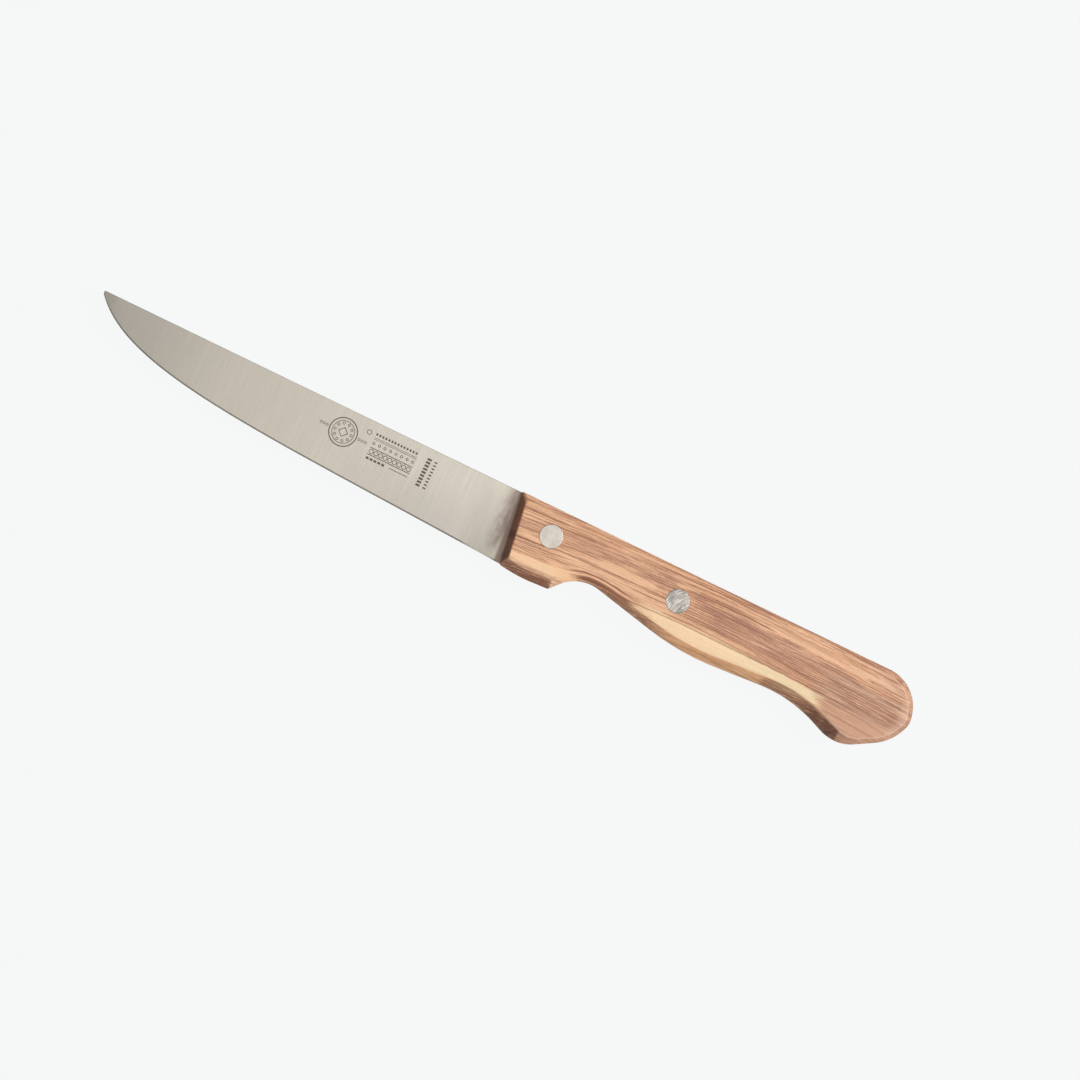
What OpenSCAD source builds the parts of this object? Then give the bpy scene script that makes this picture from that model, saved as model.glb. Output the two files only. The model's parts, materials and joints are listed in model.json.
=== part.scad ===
// Boning knife: a ground steel blade whose tang sits in a sawn slot of a one-piece
// wooden handle, held by two two-piece rivets ground flush with the handle's faces.
// The knife lies on its side. X runs from the tip to the butt, Y from the cutting edge
// to the spine, Z through the handle, and Z = 0 is the handle's lower flat face.
// Millimetres.

/* [Blade] */
// Length of the blade from the front of the handle to the tip
blade_len = 130; // [120:1:140]
// Height of the blade where it enters the handle
heel_h = 20.75; // [20:0.05:20.9]
// Height of the blade's small blunt nose at the very tip
nose_h = 0.9; // [0.2:0.1:1.5]
// Thickness of the steel at the heel's spine and of the tang
blade_t = 1.8; // [1.5:0.1:2.4]
// Thickness of the spine at the tip
tip_t = 0.7; // [0.5:0.1:1.2]
// Thickness of the steel just above the cutting bevel
shoulder_t = 0.3; // [0.2:0.05:0.5]
// Thickness of the cutting edge itself
edge_t = 0.06; // [0.04:0.02:0.1]
// Height of the cutting bevel
bevel_h = 0.45; // [0.3:0.05:1]
// Length over which the grind runs out to full thickness before the handle
runout_len = 5; // [3:0.5:8]

/* [Handle] */
// Length of the handle from its top front corner to the butt
handle_len = 125.5; // [122:0.5:130]
// Thickness of the handle between its two flat faces
handle_t = 16; // [14:0.5:18]
// How far the foot of the handle's front lies behind its top
front_lean = 3.1; // [2:0.1:3.4]
// How far the wood stands proud of the blade's spine
wood_proud = 0.25; // [0:0.05:0.5]
// Depth of the handle below the spine at the finger guard
guard_h = 21.2; // [20.9:0.1:22]
// Depth of the finger notch's corner below the spine
notch_h = 13.8; // [12.5:0.1:15]
// Depth of the handle below the spine at the belly
belly_h = 21.2; // [20:0.1:22.5]
// Depth of the handle below the spine at the waist before the hook
waist_h = 18.8; // [18:0.1:19.5]
// Depth of the hook's corner below the spine
hook_h = 25.7; // [25.2:0.1:27]
// Width of the bevel along the top edge
top_bevel = 1.8; // [1.2:0.1:2.2]
// Width of the bevel along the handle's front
front_bevel = 2.05; // [1.6:0.05:2.4]
// Width of the bevel along the lower edge at the finger guard
guard_bevel = 3; // [2:0.1:3.2]
// Width of the bevel along the lower edge at the belly
belly_bevel = 3; // [2:0.1:3.4]
// Width of the bevel along the lower edge just before the hook
hook_bevel = 4.4; // [3:0.1:4.6]

/* [Tang] */
// Reach of the tang into the handle
tang_len = 62; // [58:1:66]
// Clearance between the tang's end and the end of its slot
tang_gap = 0.8; // [0.4:0.1:1.5]
// Radius of the saw that cuts the slot
saw_r = 70; // [60:5:90]

/* [Rivets] */
// Diameter of the rivet heads
head_d = 6.8; // [6:0.1:7.5]
// Thickness of a rivet head
head_t = 1.4; // [1:0.1:2]
// Outside diameter of the tube half
tube_d = 4.6; // [4:0.1:5.2]
// Diameter of the solid half's pin, which is pressed into the tube
pin_d = 3; // [2.5:0.1:3.5]
// Distance of the front rivet behind the handle's top front corner
front_rivet_x = 12.7; // [11:0.1:15]
// Depth of the front rivet below the spine
front_rivet_depth = 7.55; // [6.5:0.05:9]
// Distance of the rear rivet behind the handle's top front corner
rear_rivet_x = 52.3; // [48:0.1:54]
// Depth of the rear rivet below the spine
rear_rivet_depth = 8.4; // [7:0.1:10]

/* [Hidden] */
$fn = 64;
steel = "silver";
wood = "peru";
alloy = "gainsboro";

mid_z = handle_t / 2;
slot_len = tang_len + tang_gap;
tang_clearance = 0.1;
tube_end_gap = 0.8;
pin_reach = 11;
head_seat = 0.6;
cut = 1;
embed = 2;
arc_step = 5;
blade_stations = 36;
front_rivet = [front_rivet_x, -front_rivet_depth];
rear_rivet = [rear_rivet_x, -rear_rivet_depth];

// Corners of the handle's side view, anticlockwise from the foot of its front. Each row is
// x, y, rounding radius, and the width of the face bevel before and after the corner.
corners = [
    [front_lean, 0.25 - guard_h, 0.4, front_bevel, guard_bevel],
    [9.4, -0.5 - guard_h, 40, guard_bevel, guard_bevel],
    [18.2, -guard_h, 1, guard_bevel, 2],
    [24.7, -notch_h, 11, 1.6, 1.6],
    [58.9, -belly_h, 74, belly_bevel, belly_bevel],
    [handle_len - 32.3, -waist_h, 42, belly_bevel, 3.4],
    [handle_len - 16.2, -hook_h, 10.5, hook_bevel, 1.9],
    [handle_len - 2.3, -17.6, 14, 1.6, 1.6],
    [handle_len, -11.3, 5, 1.5, 1.5],
    [handle_len - 1.5, wood_proud, 11.5, top_bevel, top_bevel],
    [0, wood_proud, 0.4, top_bevel, front_bevel],
];
corner_count = len(corners);
ridge_r = 1.2;

// The face bevel is slightly crowned: share of its width gone in at each share of its depth.
// It starts above the face, so that one plane trims the whole face flat.
bevel_profile = [[-0.1, 1.135], [0.4, 0.46], [1, 0]];

function unit(v) = v / norm(v);
function at(i) = let (c = corners[(i + corner_count) % corner_count]) [c.x, c.y];
function inward(a, b) = let (d = unit(b - a)) [-d.y, d.x];

// Corner i after both edges beside it have moved in by a share f of their bevels.
function inset_corner(i, f) =
    let (c = corners[(i + corner_count) % corner_count],
         n1 = inward(at(i - 1), at(i)),
         n2 = inward(at(i), at(i + 1)),
         k = n1 * n2,
         b1 = f * c[3],
         b2 = f * c[4])
    at(i) + ((b1 - b2 * k) * n1 + (b2 - b1 * k) * n2) / (1 - k * k);

// A corner that juts out loses radius as it moves in, and a hollow one gains it.
function inset_radius(i, f) =
    let (r = corners[i][2],
         b = (corners[i][3] + corners[i][4]) / 2,
         juts = cross(at(i) - at(i - 1), at(i + 1) - at(i)) > 0)
    !juts ? r + f * b : r > b + ridge_r ? r - f * b : r + f * (ridge_r - r);

// Half of the angle between the two edges that meet at corner i.
function half_angle(a, c, b) = acos(unit(a - c) * unit(b - c)) / 2;
function arc_segments(i) = ceil((180 - 2 * half_angle(at(i - 1), at(i), at(i + 1))) / arc_step) + 1;

function rounded(a, c, b, r, segments) =
    let (half = half_angle(a, c, b),
         centre = c + unit(unit(a - c) + unit(b - c)) * r / sin(half),
         first = c + unit(a - c) * r / tan(half) - centre,
         start = atan2(first.y, first.x),
         sweep = (cross(c - a, b - c) > 0 ? 1 : -1) * (180 - 2 * half))
    [for (k = [0:segments])
        centre + r * [cos(start + sweep * k / segments), sin(start + sweep * k / segments)]];

// The handle's outline with its bevels' share f taken off all round.
function outline(f) = [
    for (i = [0:corner_count - 1])
    each rounded(inset_corner(i - 1, f), inset_corner(i, f), inset_corner(i + 1, f),
                 inset_radius(i, f), arc_segments(i))];

// Bevel width at every point of the outline, running evenly from corner to corner.
function bevel_widths() = [
    for (i = [0:corner_count - 1])
    let (n = arc_segments(i))
    for (k = [0:n]) corners[i][3] + (corners[i][4] - corners[i][3]) * k / n];

full_outline = outline(0);
ring_size = len(full_outline);
bevel_at = bevel_widths();

// An end of the handle blank in two fans: the top front corner sees the outline as far as
// the middle of the notch, and the top corner at the butt sees the rest.
function first_point(i) = i == 0 ? 0 : first_point(i - 1) + arc_segments(i - 1) + 1;
top_front = first_point(corner_count - 1);
notch_middle = first_point(3) + floor(arc_segments(3) / 2);
end_fans = [
    [each [top_front:ring_size - 1], each [0:notch_middle]],
    [top_front - 1, top_front, each [notch_middle:top_front - 2]],
];

// Middle of the whole knife, which becomes the origin.
mid_x = (max([for (p = full_outline) p.x]) - blade_len) / 2;
mid_y = (min([for (p = full_outline) p.y]) + wood_proud) / 2;

// Walls between rings of equal size, with the first ring closed by the given faces and
// the last ring by the same faces turned over. Each face stays a fan about its first point.
function turned(face) = [face[0], each [for (k = [len(face) - 1:-1:1]) face[k]]];
function skin(rings, size, faces) = concat(
    faces,
    [for (j = [0:rings - 2], k = [0:size - 1])
        let (a = j * size + k, b = j * size + (k + 1) % size)
        each [[a, b + size, b], [a, a + size, b + size]]],
    [for (face = faces) [for (k = turned(face)) (rings - 1) * size + k]]);

module in_frame() {
    translate([-mid_x, -mid_y, 0]) children();
}

// Handle body before the slot and the rivet holes are cut.
module handle_blank() {
    lower = [for (s = bevel_profile)
        let (edge = outline(s[1]))
        [for (k = [0:ring_size - 1]) [edge[k].x, edge[k].y, s[0] * bevel_at[k]]]];
    upper = [for (j = [len(lower) - 1:-1:0])
        [for (p = lower[j]) [p.x, p.y, handle_t - p.z]]];
    rings = concat(lower, upper);
    intersection() {
        polyhedron([for (r = rings) each r], skin(len(rings), ring_size, end_fans), convexity = 4);
        translate([-cut, -2 * hook_h, 0]) cube([handle_len + 2 * cut, 3 * hook_h, handle_t]);
    }
}

// Everything in front of the sweep of the slotting saw, back to x = reach.
module saw_sweep(reach) {
    intersection() {
        translate([reach - saw_r, -saw_r]) square([saw_r, 2 * saw_r]);
        translate([reach - saw_r, -heel_h / 2]) circle(r = saw_r, $fn = 180);
    }
}

// A plate of steel thickness in the middle of the knife.
module steel_plate() {
    translate([0, 0, mid_z - blade_t / 2]) linear_extrude(blade_t) children();
}

function smooth(v) = let (s = min(1, max(0, v))) s * s * (3 - 2 * s);

// Cutting edge from the tip to the foot of the handle's front, one cubic curve.
edge_curve = [[-blade_len, -nose_h], [-0.891 * blade_len, -0.882 * heel_h],
              [-0.55 * blade_len, -0.803 * heel_h], [front_lean, -heel_h]];
function cutting_edge(t) =
    pow(1 - t, 3) * edge_curve[0] + 3 * t * pow(1 - t, 2) * edge_curve[1]
    + 3 * t * t * (1 - t) * edge_curve[2] + pow(t, 3) * edge_curve[3];

// Cross-section of the blade from spine to edge and back. Near the handle it leans
// with the handle's front and fills out to the full thickness of the steel.
lean_from = 25;
function section(t) =
    let (e = cutting_edge(t),
         back = front_lean - e.x,
         lean = front_lean * smooth(1 - back / lean_from),
         full = smooth(1 - back / runout_len),
         spine = [e.x - lean, 0],
         height = norm(spine - e),
         foot = e + unit(spine - e) * min(bevel_h, 0.5 * height),
         spine_z = (tip_t + (blade_t - tip_t) * (1 - back / (blade_len + front_lean))) / 2,
         foot_z = (min(shoulder_t, tip_t) + (blade_t - shoulder_t) * full) / 2,
         edge_z = (edge_t + (blade_t - edge_t) * full) / 2)
    [[spine.x, spine.y, -spine_z], [spine.x, spine.y, spine_z],
     [foot.x, foot.y, foot_z], [e.x, e.y, edge_z],
     [e.x, e.y, -edge_z], [foot.x, foot.y, -foot_z]];

module ground_blade() {
    free = [for (i = [0:blade_stations]) section(i / blade_stations)];
    inside = [for (p = free[blade_stations]) [p.x + embed, p.y, p.z]];
    rings = concat(free, [inside]);
    translate([0, 0, mid_z])
    polyhedron([for (r = rings) each r], skin(len(rings), 6, [[each [0:5]]]), convexity = 4);
}

module blade() {
    color(steel)
    in_frame()
    difference() {
        union() {
            ground_blade();
            steel_plate() intersection() {
                polygon(full_outline);
                saw_sweep(tang_len);
            }
        }
        for (p = [front_rivet, rear_rivet])
            translate([p.x, p.y, 0]) cylinder(d = tube_d + 2 * tang_clearance, h = handle_t);
    }
}

module handle() {
    color(wood)
    in_frame()
    difference() {
        handle_blank();
        steel_plate() difference() {
            saw_sweep(slot_len);
            translate([-saw_r, -saw_r]) square([saw_r - cut, 2 * saw_r]);
        }
        for (p = [front_rivet, rear_rivet]) translate([p.x, p.y, 0]) {
            translate([0, 0, -cut]) cylinder(d = tube_d, h = handle_t + 2 * cut);
            translate([0, 0, -cut]) cylinder(d = head_d, h = head_t + cut);
            translate([0, 0, handle_t - head_t]) cylinder(d = head_d, h = head_t + cut);
        }
    }
}

module rivet_tube(place) {
    color(alloy)
    in_frame()
    translate([place.x, place.y, 0])
    difference() {
        union() {
            cylinder(d = head_d, h = head_t);
            cylinder(d = tube_d, h = handle_t - head_t - tube_end_gap);
        }
        translate([0, 0, head_t + head_seat]) cylinder(d = pin_d, h = handle_t);
    }
}

module rivet_pin(place) {
    color(alloy)
    in_frame()
    translate([place.x, place.y, handle_t])
    mirror([0, 0, 1]) {
        cylinder(d = head_d, h = head_t);
        cylinder(d = pin_d, h = pin_reach);
    }
}

module front_rivet_tube() {
    rivet_tube(front_rivet);
}

module front_rivet_pin() {
    rivet_pin(front_rivet);
}

module rear_rivet_tube() {
    rivet_tube(rear_rivet);
}

module rear_rivet_pin() {
    rivet_pin(rear_rivet);
}

blade();
handle();
front_rivet_tube();
front_rivet_pin();
rear_rivet_tube();
rear_rivet_pin();
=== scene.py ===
"""Looks of the boning knife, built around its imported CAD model.

Shapes are worked out in millimetres in a drawing frame: x is 0 at the top front corner of the
handle and grows towards the butt, y is 0 on the blade's spine and negative towards its edge, and
z is 0 on the handle's lower face. place() carries a drawing point into the CAD model's frame.
"""
import json
import math
import random

import bmesh
import bpy
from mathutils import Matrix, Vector

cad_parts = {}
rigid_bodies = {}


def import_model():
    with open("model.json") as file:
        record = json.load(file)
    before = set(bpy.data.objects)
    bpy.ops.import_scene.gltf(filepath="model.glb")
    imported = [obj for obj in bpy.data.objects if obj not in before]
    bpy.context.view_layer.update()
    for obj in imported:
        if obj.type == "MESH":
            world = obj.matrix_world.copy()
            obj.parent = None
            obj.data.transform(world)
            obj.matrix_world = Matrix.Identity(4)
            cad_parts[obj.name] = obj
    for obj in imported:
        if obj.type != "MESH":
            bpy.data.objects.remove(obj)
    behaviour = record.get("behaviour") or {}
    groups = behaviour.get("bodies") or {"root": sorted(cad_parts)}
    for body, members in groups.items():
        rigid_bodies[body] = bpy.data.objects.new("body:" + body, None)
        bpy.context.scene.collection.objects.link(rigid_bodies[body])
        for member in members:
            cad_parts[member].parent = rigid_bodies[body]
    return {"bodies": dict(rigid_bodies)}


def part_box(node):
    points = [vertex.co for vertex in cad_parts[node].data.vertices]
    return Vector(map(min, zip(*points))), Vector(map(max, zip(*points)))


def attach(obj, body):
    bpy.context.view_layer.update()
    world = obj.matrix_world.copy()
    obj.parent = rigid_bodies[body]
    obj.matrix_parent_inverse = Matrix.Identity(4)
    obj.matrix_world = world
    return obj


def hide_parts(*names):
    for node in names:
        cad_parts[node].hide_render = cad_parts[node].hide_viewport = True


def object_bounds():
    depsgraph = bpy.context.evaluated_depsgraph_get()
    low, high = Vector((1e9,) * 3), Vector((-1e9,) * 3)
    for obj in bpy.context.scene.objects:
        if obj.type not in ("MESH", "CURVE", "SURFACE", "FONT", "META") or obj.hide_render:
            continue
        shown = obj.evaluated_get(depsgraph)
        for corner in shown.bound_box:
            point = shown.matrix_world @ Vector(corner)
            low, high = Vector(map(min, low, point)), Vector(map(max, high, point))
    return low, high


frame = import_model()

cad_low, cad_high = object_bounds()
random.seed(7)

MM = 0.001
BODY = sorted(frame["bodies"])[0]

# Blade, in millimetres: its outline, then its thicknesses and how the grinds end
BLADE_LEN = 130
HEEL_H = 20.75
NOSE_H = 0.9
LEAN_FROM = 25  # the sections turn to the lean of the handle's front over this length
BLADE_T = 1.8
TIP_T = 0.7  # spine at the tip
SHOULDER_T = 0.3  # foot of the flat grind, where the edge bevel starts
EDGE_T = 0.06
BEVEL_H = 0.45  # height of the edge bevel
EDGE_RUNOUT = 4.5  # length over which the edge bevel ends before the handle
FLANK_RUNOUT = 14  # the same for the flat grind
RICASSO = 0.8  # unground steel before the handle
NOSE_SLOPE = 0.05  # steepest flank, which thins the spine at the nose
SPINE_EASE = 0.12

# Handle outline and the widths of its face bevels
HANDLE_LEN = 125.5
HANDLE_T = 16
MID_Z = HANDLE_T / 2
FRONT_LEAN = 3.1
WOOD_PROUD = 0.25
GUARD_H = 21.2
NOTCH_H = 13.8
BELLY_H = 21.2
WAIST_H = 18.8
HOOK_H = 25.7
TOP_BEVEL = 1.8
FRONT_BEVEL = 2.05
GUARD_BEVEL = 3
BELLY_BEVEL = 3
HOOK_BEVEL = 4.4
RIDGE_R = 1.2  # least rounding of a corner once its bevels are off
CROWN = 0.25  # how much of a bevel's section is a round instead of a slope

# Tang and its slot
TANG_LEN = 62
TANG_GAP = 0.8
SAW_R = 70

# Rivets: their heads, tubes and pins, and their places on the faces
HEAD_D = 6.8
HEAD_T = 1.4
HEAD_GAP = 0.04  # hairline round each head and each tube, and round the pin in its tube
HEAD_EASE = 0.07
TUBE_D = 4.6
TUBE_FLOOR = 0.6  # metal between a tube's head and its bore
TUBE_SHORT = 0.8  # what the tube falls short of the pin's head
PIN_D = 3
PIN_REACH = 11
AXIS_R = 0.02  # turned pieces close with a flat this small on their axis
RIVETS = {"front": (12.7, -7.55), "rear": (52.3, -8.4)}

# Fineness of the meshes. Edges that turn by more than a crease angle are shaded crisp.
CREASE = 30
HANDLE_CREASE = 28
BLADE_CREASE = 9
LATHE_SIDES = 96
ARC_STEP = 2.5
STRAIGHT_STEP = 2.0
SAW_STEPS = 48
BLADE_STATIONS = 150
TOUCHING = 0.002 * MM  # points closer than this, in metres, become one

SHIFT_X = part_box("blade")[0].x + BLADE_LEN * MM
SHIFT_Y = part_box("handle")[1].y - WOOD_PROUD * MM


# ---------------------------------------------------------------- small maths

def place(x, y, z):
    """A drawing point in the CAD model's frame, in metres."""
    return (x * MM + SHIFT_X, y * MM + SHIFT_Y, z * MM)


def smooth(v):
    v = min(1, max(0, v))
    return v * v * (3 - 2 * v)


def mix(a, b, t):
    return a + (b - a) * t


def flat(x, y):
    return Vector((x, y))


# ---------------------------------------------------------------- meshes

def make_object(name, points, faces, sharp_degrees):
    """A smooth-shaded mesh from drawing points, with edges sharper than the angle kept crisp."""
    mesh = bpy.data.meshes.new(name)
    mesh.from_pydata([place(*p) for p in points], [], faces)
    mesh.update()
    obj = bpy.data.objects.new(name, mesh)
    bpy.context.scene.collection.objects.link(obj)
    shade(obj, sharp_degrees)
    return obj


def shade(obj, sharp_degrees):
    obj.data.polygons.foreach_set("use_smooth", [True] * len(obj.data.polygons))
    obj.data.set_sharp_from_angle(angle=math.radians(sharp_degrees))


def skin(rings):
    """Points and faces of a solid through equal rings, which run anticlockwise seen from its
    last end."""
    size = len(rings[0])
    points = [p for ring in rings for p in ring]
    faces = []
    for j in range(len(rings) - 1):
        for k in range(size):
            a, b = j * size + k, j * size + (k + 1) % size
            faces.append((a, b, b + size, a + size))
    faces.append(tuple(reversed(range(size))))
    faces.append(tuple(range((len(rings) - 1) * size, len(rings) * size)))
    return points, faces


def combine(obj, others, operation):
    """Joins or cuts other solids into obj, and removes them."""
    for other in others:
        step = obj.modifiers.new(operation.lower(), "BOOLEAN")
        step.operation = operation
        step.solver = "EXACT"
        step.object = other
    graph = bpy.context.evaluated_depsgraph_get()
    result = bpy.data.meshes.new_from_object(obj.evaluated_get(graph))
    obj.modifiers.clear()
    obj.data = result
    for other in others:
        bpy.data.objects.remove(other)


def clean(obj):
    """Merges points that touch, removes faces without area, and splits the many-sided ones."""
    work = bmesh.new()
    work.from_mesh(obj.data)
    bmesh.ops.remove_doubles(work, verts=work.verts, dist=TOUCHING)
    bmesh.ops.dissolve_degenerate(work, edges=work.edges, dist=TOUCHING)
    bmesh.ops.triangulate(work, faces=[f for f in work.faces if len(f.verts) > 4])
    work.to_mesh(obj.data)
    work.free()


def lathe(name, profile, centre):
    """A closed solid turned from (radius, z) points about a vertical axis."""
    turn = [2 * math.pi * k / LATHE_SIDES for k in range(LATHE_SIDES)]
    rings = [[(centre[0] + radius * math.cos(a), centre[1] + radius * math.sin(a), z)
              for a in turn] for radius, z in profile]
    points, faces = skin(rings)
    return make_object(name, points, faces, CREASE)


def plate(name, outline, low, high):
    """A flat plate between two heights."""
    points, faces = skin([[(p.x, p.y, z) for p in outline] for z in (low, high)])
    return make_object(name, points, faces, CREASE)


# ---------------------------------------------------------------- handle outline

# Corners of the handle's side view, anticlockwise from the foot of its front. Each row is
# x, y, rounding radius, and the width of the face bevel before and after the corner.
CORNERS = [
    (FRONT_LEAN, 0.25 - GUARD_H, 0.4, FRONT_BEVEL, GUARD_BEVEL),
    (9.4, -0.5 - GUARD_H, 40, GUARD_BEVEL, GUARD_BEVEL),
    (18.2, -GUARD_H, 1, GUARD_BEVEL, 2),
    (24.7, -NOTCH_H, 11, 1.6, 1.6),
    (58.9, -BELLY_H, 74, BELLY_BEVEL, BELLY_BEVEL),
    (HANDLE_LEN - 32.3, -WAIST_H, 42, BELLY_BEVEL, 3.4),
    (HANDLE_LEN - 16.2, -HOOK_H, 10.5, HOOK_BEVEL, 1.9),
    (HANDLE_LEN - 2.3, -17.6, 14, 1.6, 1.6),
    (HANDLE_LEN, -11.3, 5, 1.5, 1.5),
    (HANDLE_LEN - 1.5, WOOD_PROUD, 11.5, TOP_BEVEL, TOP_BEVEL),
    (0, WOOD_PROUD, 0.4, TOP_BEVEL, FRONT_BEVEL),
]


def corner(i):
    x, y, *_ = CORNERS[i % len(CORNERS)]
    return flat(x, y)


def inward(a, b):
    """Normal of the edge from a to b that points into the handle."""
    along = (b - a).normalized()
    return flat(-along.y, along.x)


def inset_corner(i, share):
    """Corner i after both edges beside it have moved in by a share of their bevels."""
    n1, n2 = inward(corner(i - 1), corner(i)), inward(corner(i), corner(i + 1))
    k = n1.dot(n2)
    b1, b2 = (share * w for w in CORNERS[i % len(CORNERS)][3:])
    return corner(i) + ((b1 - b2 * k) * n1 + (b2 - b1 * k) * n2) / (1 - k * k)


def inset_radius(i, share):
    """A corner that juts out loses radius as it moves in, and a hollow one gains it."""
    _, _, radius, before, after = CORNERS[i]
    bevel = (before + after) / 2
    juts = (corner(i) - corner(i - 1)).cross(corner(i + 1) - corner(i)) > 0
    if not juts:
        return radius + share * bevel
    if radius > bevel + RIDGE_R:
        return radius - share * bevel
    return radius + share * (RIDGE_R - radius)


def rounded(a, c, b, radius, segments):
    """Points of the arc that rounds corner c between a and b."""
    to_a, to_b = (a - c).normalized(), (b - c).normalized()
    half = to_a.angle(to_b) / 2
    centre = c + (to_a + to_b).normalized() * radius / math.sin(half)
    first = c + to_a * radius / math.tan(half) - centre
    start = math.atan2(first.y, first.x)
    sweep = math.copysign(math.pi - 2 * half, (c - a).cross(b - c))
    return [centre + radius * flat(math.cos(start + sweep * k / segments),
                                   math.sin(start + sweep * k / segments))
            for k in range(segments + 1)]


def arc_segments(i):
    turn = math.pi - (corner(i - 1) - corner(i)).angle(corner(i + 1) - corner(i))
    return math.ceil(math.degrees(turn) / ARC_STEP) + 1


def corner_arcs(share):
    return [rounded(inset_corner(i - 1, share), inset_corner(i, share), inset_corner(i + 1, share),
                    inset_radius(i, share), arc_segments(i)) for i in range(len(CORNERS))]


# Steps along the straight stretch that follows each corner, the same for every inset ring
STRAIGHTS = [max(1, round((after[0] - before[-1]).length / STRAIGHT_STEP))
             for before, after in zip(corner_arcs(0), corner_arcs(0)[1:] + corner_arcs(0)[:1])]


def handle_ring(share):
    """The handle's outline with a share of its bevels taken off all round."""
    arcs = corner_arcs(share)
    ring = []
    for i, arc in enumerate(arcs):
        following = arcs[(i + 1) % len(arcs)][0]
        ring += arc
        ring += [arc[-1].lerp(following, k / STRAIGHTS[i]) for k in range(1, STRAIGHTS[i])]
    return ring


def ring_bevels():
    """Bevel width at every point of the ring."""
    widths = []
    for i, (_, _, _, before, after) in enumerate(CORNERS):
        following = CORNERS[(i + 1) % len(CORNERS)][3]
        count = arc_segments(i)
        widths += [mix(before, after, k / count) for k in range(count + 1)]
        widths += [mix(after, following, k / STRAIGHTS[i]) for k in range(1, STRAIGHTS[i])]
    return widths


# ---------------------------------------------------------------- handle

# Depths, as shares of a bevel's own depth, at which rings run round the handle. The last one
# lies just past the bevel, and FACE_RING, a share of the bevel's width, just inside its ridge:
# both keep the flats beside it evenly shaded.
BEVEL_RINGS = (0, 0.05, 0.12, 0.22, 0.36, 0.55, 0.75, 0.88, 0.95, 1.03)
FACE_RING = 1.12

WOBBLE = 0.035  # how far the bevels stray, as a share of their depth
WOBBLE_WAVES = 14


def bevel_inset(depth):
    """Share of the bevel's width gone in at a share of its depth: a crowned chamfer."""
    rest = max(0, 1 - depth)
    return (1 - CROWN) * rest + CROWN * (1 - math.sqrt(1 - rest * rest))


def hand_wobble(count):
    """Small smooth changes round the outline, as a hand-held sanding belt leaves."""
    waves = [(random.randint(3, 40), random.uniform(0, 2 * math.pi)) for _ in range(WOBBLE_WAVES)]
    size = WOBBLE / math.sqrt(WOBBLE_WAVES)
    return [size * sum(math.sin(turns * 2 * math.pi * k / count + phase) for turns, phase in waves)
            for k in range(count)]


def handle_blank():
    """The handle before its slot and rivet holes are cut."""
    widths = ring_bevels()
    wobble = hand_wobble(len(widths))
    lower = [[(p.x, p.y, 0) for p in handle_ring(FACE_RING)]]
    for depth in BEVEL_RINGS:
        ring = handle_ring(bevel_inset(depth))
        lower.append([(p.x, p.y, depth * w * (1 + e)) for p, w, e in zip(ring, widths, wobble)])
    upper = [[(x, y, HANDLE_T - z) for x, y, z in ring] for ring in reversed(lower)]
    points, faces = skin(lower + upper)
    return make_object("wooden_handle", points, faces, HANDLE_CREASE)


def saw_sweep(reach):
    """Outline of what the slotting saw clears, from well in front of the handle back to reach."""
    centre = flat(reach - SAW_R, -HEEL_H / 2)
    span = math.asin(2 * HOOK_H / SAW_R)
    arc = [centre + SAW_R * flat(math.cos(a), math.sin(a))
           for a in (mix(-span, span, k / SAW_STEPS) for k in range(SAW_STEPS + 1))]
    front = -HANDLE_T
    return [flat(front, arc[0].y)] + arc + [flat(front, arc[-1].y)]


def make_handle():
    handle = handle_blank()
    slot = plate("slot", saw_sweep(TANG_LEN + TANG_GAP), MID_Z - BLADE_T / 2, MID_Z + BLADE_T / 2)
    cutters = [slot]
    for centre in RIVETS.values():
        r, bore, clear = HEAD_D / 2, TUBE_D / 2, 1
        profile = [(r, -clear), (r, HEAD_T), (bore, HEAD_T), (bore, HANDLE_T - HEAD_T),
                   (r, HANDLE_T - HEAD_T), (r, HANDLE_T + clear)]
        cutters.append(lathe("bore", profile, centre))
    combine(handle, cutters, "DIFFERENCE")
    clean(handle)
    shade(handle, HANDLE_CREASE)
    return handle


# ---------------------------------------------------------------- blade

# Control points of the cutting edge's curve, from the nose to the handle
EDGE_CURVE = [flat(-BLADE_LEN, -NOSE_H), flat(-0.891 * BLADE_LEN, -0.882 * HEEL_H),
              flat(-0.55 * BLADE_LEN, -0.803 * HEEL_H), flat(FRONT_LEAN, -HEEL_H)]

# Where lines run along each flank, as shares of the way from the spine's easing to the foot
FLANK_LINES = (0, 0.1, 0.3, 0.55, 0.8, 0.97, 1)


def cutting_edge(t):
    """A point of the cutting edge; t is 0 at the nose and 1 at the handle."""
    p0, p1, p2, p3 = EDGE_CURVE
    s = 1 - t
    return s ** 3 * p0 + 3 * t * s ** 2 * p1 + 3 * t * t * s * p2 + t ** 3 * p3


def blade_section(t):
    """Spine, foot of the flat grind and edge at one station, each with its half thickness."""
    edge = cutting_edge(t)
    back = FRONT_LEAN - edge.x
    flank_full = smooth(1 - (back - RICASSO) / FLANK_RUNOUT)
    edge_full = smooth(1 - (back - RICASSO) / EDGE_RUNOUT)
    spine = flat(edge.x - FRONT_LEAN * smooth(1 - back / LEAN_FROM), 0)
    up = spine - edge
    foot = edge + up.normalized() * min(BEVEL_H, 0.5 * up.length)
    foot_z = mix(SHOULDER_T, BLADE_T, flank_full) / 2
    spine_z = mix(TIP_T, BLADE_T, 1 - back / (BLADE_LEN + FRONT_LEAN)) / 2
    spine_z = max(min(spine_z, foot_z + NOSE_SLOPE * (spine - foot).length), foot_z)
    edge_z = min(mix(EDGE_T, BLADE_T, edge_full) / 2, foot_z)
    return (spine, spine_z), (foot, foot_z), (edge, edge_z)


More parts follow.
